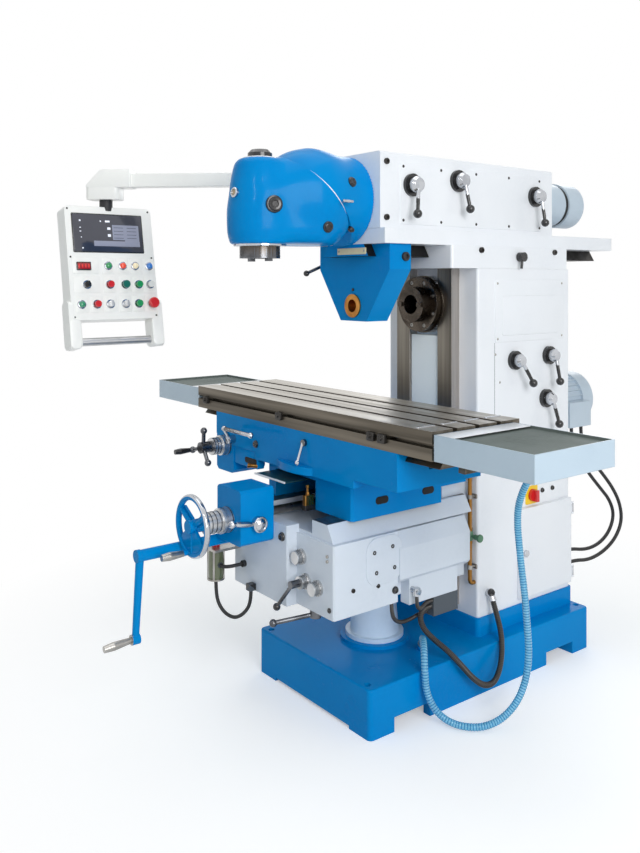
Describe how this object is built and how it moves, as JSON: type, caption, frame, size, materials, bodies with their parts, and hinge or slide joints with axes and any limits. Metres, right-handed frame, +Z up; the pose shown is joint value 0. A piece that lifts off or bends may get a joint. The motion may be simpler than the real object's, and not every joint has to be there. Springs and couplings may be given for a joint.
{
  "type": "universal milling machine",
  "caption": "Knee-type universal milling machine with a horizontal spindle, a swivel head on a sliding ram, a swivelling table with drip trays and a control pendant on a swing arm.",
  "frame": {"origin": "on the floor, in the middle of the four anchor holes of the base", "axes": "+X the operator's right, +Y from the operator to the back of the column, +Z up"},
  "size_m": [1.918, 2.1864, 1.823],
  "materials": {
    "blue_paint": "glossy blue machine enamel",
    "white_paint": "glossy white machine enamel",
    "grey_paint": "light grey-blue machine enamel",
    "tray_paint": "light blue-grey enamel on sheet steel",
    "motor_paint": "light grey enamel",
    "machined_steel": "turned and ground steel",
    "table_iron": "ground cast iron with a thin film of oil",
    "chrome": "polished chrome plate",
    "bronze": "turned bronze",
    "black_plastic": "black moulded plastic",
    "black_rubber": "black covered flexible conduit and cable",
    "blue_hose": "clear blue ribbed hose",
    "red_plastic": "red moulded plastic",
    "green_plastic": "green moulded plastic",
    "dark_green_plastic": "dark green moulded plastic",
    "white_plastic": "white moulded plastic"
  },
  "bodies": {
    "frame": {"base": "blue_paint", "column": "white_paint", "ram_guide": "white_paint", "main_motor": "motor_paint", "screw_pedestal": "white_paint", "spindle_bearings": "machined_steel", "coolant_hose": "blue_hose", "control_conduits": "black_rubber"},
    "knee": {"knee": "grey_paint", "feed_gearbox": "grey_paint", "cross_feed_box": "blue_paint", "knee_fittings": "black_plastic", "knee_hoses": "black_rubber"},
    "ram": {"ram": "white_paint", "ram_motor": "motor_paint"},
    "arbor_support": {"arbor_support": "blue_paint", "arbor_bush": "bronze"},
    "table": {"table": "table_iron", "drip_trays": "tray_paint"},
    "cabinet_door": {"cabinet_door": "white_paint"},
    "horizontal_spindle": {"horizontal_spindle": "machined_steel"},
    "isolator_knob": {"isolator_knob": "red_plastic"},
    "ram_clamp_knob": {"ram_clamp_knob": "chrome"},
    "ram_drive_shaft": {"ram_drive_shaft": "machined_steel"},
    "head_knuckle": {"head_knuckle": "blue_paint"},
    "head_housing": {"head_housing": "blue_paint"},
    "vertical_spindle": {"vertical_spindle": "machined_steel"},
    "support_clamp_lever": {"support_clamp_lever": "chrome"},
    "cross_feed_lever": {"cross_feed_lever": "chrome"},
    "cross_screw": {"cross_screw": "machined_steel"},
    "cross_handwheel": {"cross_handwheel": "chrome"},
    "knee_crank": {"knee_crank": "blue_paint"},
    "knee_clamp_lever": {"knee_clamp_lever": "chrome"},
    "elevating_screw": {"elevating_screw": "machined_steel"},
    "saddle": {"saddle": "blue_paint"},
    "swivel_base": {"swivel_base": "blue_paint"},
    "table_crank": {"table_crank": "chrome"},
    "feed_lever": {"feed_lever": "chrome"},
    "leadscrew": {"leadscrew": "machined_steel"},
    "pendant_arm": {"pendant_arm": "white_paint"},
    "pendant_box": {"pendant_box": "white_paint"},
    "emergency_stop": {"emergency_stop": "red_plastic"},
    "speed_lever_front": {"speed_lever_front": "chrome"},
    "speed_lever_rear": {"speed_lever_rear": "chrome"},
    "range_lever": {"range_lever": "chrome"},
    "ram_lever_front": {"ram_lever_front": "chrome"},
    "ram_lever_middle": {"ram_lever_middle": "chrome"},
    "ram_lever_rear": {"ram_lever_rear": "chrome"},
    "feed_dial_upper": {"feed_dial_upper": "chrome"},
    "feed_dial_left": {"feed_dial_left": "chrome"},
    "feed_dial_right": {"feed_dial_right": "chrome"},
    "spindle_stop_button": {"spindle_stop_button": "red_plastic"},
    "spindle_start_button": {"spindle_start_button": "dark_green_plastic"},
    "coolant_button": {"coolant_button": "green_plastic"},
    "lamp_button": {"lamp_button": "white_plastic"},
    "feed_stop_button": {"feed_stop_button": "red_plastic"},
    "feed_start_button": {"feed_start_button": "green_plastic"},
    "feed_rate_knob": {"feed_rate_knob": "black_plastic"},
    "head_selector": {"head_selector": "chrome"},
    "feed_selector": {"feed_selector": "chrome"}
  },
  "joints": [
    {"name": "knee_lift", "type": "slide", "parent": "frame", "child": "knee", "axis": [0, 0, 1], "range_m": [-0.06, 0.25], "deforming": ["coolant_hose", "control_conduits"]},
    {"name": "elevating_screw_turn", "type": "hinge", "parent": "knee", "child": "elevating_screw", "pos_m": [0, -0.269, 0.3], "axis": [0, 0, 1], "continuous": true},
    {"name": "knee_crank_turn", "type": "hinge", "parent": "knee", "child": "knee_crank", "pos_m": [-0.17, -0.7, 0.547], "axis": [0, 1, 0], "continuous": true},
    {"name": "cross_handwheel_turn", "type": "hinge", "parent": "knee", "child": "cross_handwheel", "pos_m": [-0.082, -0.9, 0.634], "axis": [0, 1, 0], "continuous": true},
    {"name": "cross_slide", "type": "slide", "parent": "knee", "child": "saddle", "axis": [0, 1, 0], "range_m": [-0.29, 0.005], "deforming": ["coolant_hose"]},
    {"name": "cross_screw_turn", "type": "hinge", "parent": "knee", "child": "cross_screw", "pos_m": [-0.082, -0.4, 0.634], "axis": [0, 1, 0], "continuous": true},
    {"name": "cross_feed_lever_turn", "type": "hinge", "parent": "knee", "child": "cross_feed_lever", "pos_m": [-0.008, -0.7525, 0.627], "axis": [1, 0, 0], "range_deg": [-25, 25]},
    {"name": "feed_dial_upper_turn", "type": "hinge", "parent": "knee", "child": "feed_dial_upper", "pos_m": [0.09, -0.66, 0.528], "axis": [0, 1, 0], "range_deg": [-150, 150]},
    {"name": "feed_dial_left_turn", "type": "hinge", "parent": "knee", "child": "feed_dial_left", "pos_m": [0.114, -0.66, 0.457], "axis": [0, 1, 0], "range_deg": [0, 60]},
    {"name": "feed_dial_right_turn", "type": "hinge", "parent": "knee", "child": "feed_dial_right", "pos_m": [0.175, -0.66, 0.453], "axis": [0, 1, 0], "range_deg": [-150, 150]},
    {"name": "knee_clamp_turn", "type": "hinge", "parent": "knee", "child": "knee_clamp_lever", "pos_m": [0.134, -0.63, 0.36], "axis": [0, 0, 1], "range_deg": [-30, 30]},
    {"name": "table_swivel", "type": "hinge", "parent": "saddle", "child": "swivel_base", "pos_m": [0, -0.435, 0.79], "axis": [0, 0, 1], "range_deg": [-35, 35], "deforming": ["coolant_hose"]},
    {"name": "table_crank_turn", "type": "hinge", "parent": "swivel_base", "child": "table_crank", "pos_m": [-0.42, -0.66, 0.797], "axis": [0, 1, 0], "continuous": true},
    {"name": "feed_lever_turn", "type": "hinge", "parent": "swivel_base", "child": "feed_lever", "pos_m": [-0.368, -0.63, 0.825], "axis": [0, 1, 0], "range_deg": [-15, 15]},
    {"name": "table_feed", "type": "slide", "parent": "swivel_base", "child": "table", "axis": [1, 0, 0], "range_m": [-0.5, 0.5], "deforming": ["coolant_hose"]},
    {"name": "leadscrew_turn", "type": "hinge", "parent": "table", "child": "leadscrew", "pos_m": [0, -0.435, 0.885], "axis": [1, 0, 0], "continuous": true},
    {"name": "horizontal_spindle_spin", "type": "hinge", "parent": "frame", "child": "horizontal_spindle", "pos_m": [0, 0.2, 1.307], "axis": [0, 1, 0], "continuous": true},
    {"name": "ram_slide", "type": "slide", "parent": "frame", "child": "ram", "axis": [0, 1, 0], "range_m": [-0.3, 0.06]},
    {"name": "ram_drive_spin", "type": "hinge", "parent": "ram", "child": "ram_drive_shaft", "pos_m": [0, 0, 1.66], "axis": [0, 1, 0], "continuous": true},
    {"name": "ram_lever_front_turn", "type": "hinge", "parent": "ram", "child": "ram_lever_front", "pos_m": [0.2, -0.265, 1.711], "axis": [1, 0, 0], "range_deg": [-60, 60]},
    {"name": "ram_lever_middle_turn", "type": "hinge", "parent": "ram", "child": "ram_lever_middle", "pos_m": [0.2, -0.044, 1.74], "axis": [1, 0, 0], "range_deg": [-60, 60]},
    {"name": "ram_lever_rear_turn", "type": "hinge", "parent": "ram", "child": "ram_lever_rear", "pos_m": [0.2, 0.377, 1.71], "axis": [1, 0, 0], "range_deg": [-60, 60]},
    {"name": "head_roll", "type": "hinge", "parent": "ram", "child": "head_knuckle", "pos_m": [0, -0.402, 1.66], "axis": [0, 1, 0], "range_deg": [-180, 180]},
    {"name": "head_tilt", "type": "hinge", "parent": "head_knuckle", "child": "head_housing", "pos_m": [0, -0.572, 1.66], "axis": [0, -0.7071, -0.7071], "range_deg": [-180, 180]},
    {"name": "vertical_spindle_spin", "type": "hinge", "parent": "head_housing", "child": "vertical_spindle", "pos_m": [0, -0.748, 1.5], "axis": [0, 0, 1], "continuous": true},
    {"name": "arbor_support_slide", "type": "slide", "parent": "ram", "child": "arbor_support", "axis": [0, 1, 0], "range_m": [-0.03, 0.08]},
    {"name": "support_clamp_turn", "type": "hinge", "parent": "arbor_support", "child": "support_clamp_lever", "pos_m": [-0.2, -0.3175, 1.455], "axis": [1, 0, 0], "range_deg": [-45, 45]},
    {"name": "speed_lever_front_turn", "type": "hinge", "parent": "frame", "child": "speed_lever_front", "pos_m": [0.24, 0.203, 1.105], "axis": [1, 0, 0], "range_deg": [-60, 60]},
    {"name": "speed_lever_rear_turn", "type": "hinge", "parent": "frame", "child": "speed_lever_rear", "pos_m": [0.24, 0.4, 1.113], "axis": [1, 0, 0], "range_deg": [-60, 60]},
    {"name": "range_lever_turn", "type": "hinge", "parent": "frame", "child": "range_lever", "pos_m": [0.24, 0.382, 0.953], "axis": [1, 0, 0], "range_deg": [-60, 60]},
    {"name": "isolator_turn", "type": "hinge", "parent": "frame", "child": "isolator_knob", "pos_m": [0.24, 0.3, 0.603], "axis": [1, 0, 0], "range_deg": [0, 90]},
    {"name": "ram_clamp_turn", "type": "hinge", "parent": "frame", "child": "ram_clamp_knob", "pos_m": [0.24, 0.231, 1.479], "axis": [1, 0, 0], "range_deg": [-60, 60]},
    {"name": "cabinet_door_swing", "type": "hinge", "parent": "frame", "child": "cabinet_door", "pos_m": [0.242, 0.527, 0.4], "axis": [0, 0, 1], "range_deg": [0, 110]},
    {"name": "pendant_arm_swing", "type": "hinge", "parent": "ram", "child": "pendant_arm", "pos_m": [-0.222, -0.335, 1.76], "axis": [0, 0, 1], "range_deg": [-60, 20]},
    {"name": "pendant_box_swivel", "type": "hinge", "parent": "pendant_arm", "child": "pendant_box", "pos_m": [-0.762, -0.93, 1.71], "axis": [0, 0, 1], "range_deg": [-45, 45]},
    {"name": "spindle_stop_button_press", "type": "slide", "parent": "pendant_box", "child": "spindle_stop_button", "axis": [-0.9816, 0, -0.1908], "range_m": [0, 0.004], "stiffness_N_per_m": 600, "springref_m": -0.001},
    {"name": "spindle_start_button_press", "type": "slide", "parent": "pendant_box", "child": "spindle_start_button", "axis": [-0.9816, 0, -0.1908], "range_m": [0, 0.004], "stiffness_N_per_m": 600, "springref_m": -0.001},
    {"name": "coolant_button_press", "type": "slide", "parent": "pendant_box", "child": "coolant_button", "axis": [-0.9816, 0, -0.1908], "range_m": [0, 0.004], "stiffness_N_per_m": 600, "springref_m": -0.001},
    {"name": "lamp_button_press", "type": "slide", "parent": "pendant_box", "child": "lamp_button", "axis": [-0.9816, 0, -0.1908], "range_m": [0, 0.004], "stiffness_N_per_m": 600, "springref_m": -0.001},
    {"name": "feed_stop_button_press", "type": "slide", "parent": "pendant_box", "child": "feed_stop_button", "axis": [-0.9816, 0, -0.1908], "range_m": [0, 0.004], "stiffness_N_per_m": 600, "springref_m": -0.001},
    {"name": "feed_start_button_press", "type": "slide", "parent": "pendant_box", "child": "feed_start_button", "axis": [-0.9816, 0, -0.1908], "range_m": [0, 0.004], "stiffness_N_per_m": 600, "springref_m": -0.001},
    {"name": "emergency_stop_press", "type": "slide", "parent": "pendant_box", "child": "emergency_stop", "axis": [-0.9816, 0, -0.1908], "range_m": [0, 0.006], "stiffness_N_per_m": 1200, "springref_m": -0.001},
    {"name": "feed_rate_knob_turn", "type": "hinge", "parent": "pendant_box", "child": "feed_rate_knob", "pos_m": [-0.68735, -1.035, 1.37851], "axis": [0.9816, 0, 0.1908], "range_deg": [-150, 150]},
    {"name": "head_selector_turn", "type": "hinge", "parent": "pendant_box", "child": "head_selector", "pos_m": [-0.67361, -0.952, 1.30783], "axis": [0.9816, 0, 0.1908], "range_deg": [-45, 45]},
    {"name": "feed_selector_turn", "type": "hinge", "parent": "pendant_box", "child": "feed_selector", "pos_m": [-0.67361, -0.892, 1.30783], "axis": [0.9816, 0, 0.1908], "range_deg": [-45, 45]}
  ],
  "couplings": [
    {"joint": "elevating_screw_turn", "follows": "knee_lift", "rad_per_m": 628.32},
    {"joint": "cross_screw_turn", "follows": "cross_slide", "rad_per_m": 1047.2},
    {"joint": "leadscrew_turn", "follows": "table_feed", "rad_per_m": 1047.2},
    {"joint": "ram_drive_spin", "follows": "vertical_spindle_spin", "ratio": -1}
  ]
}
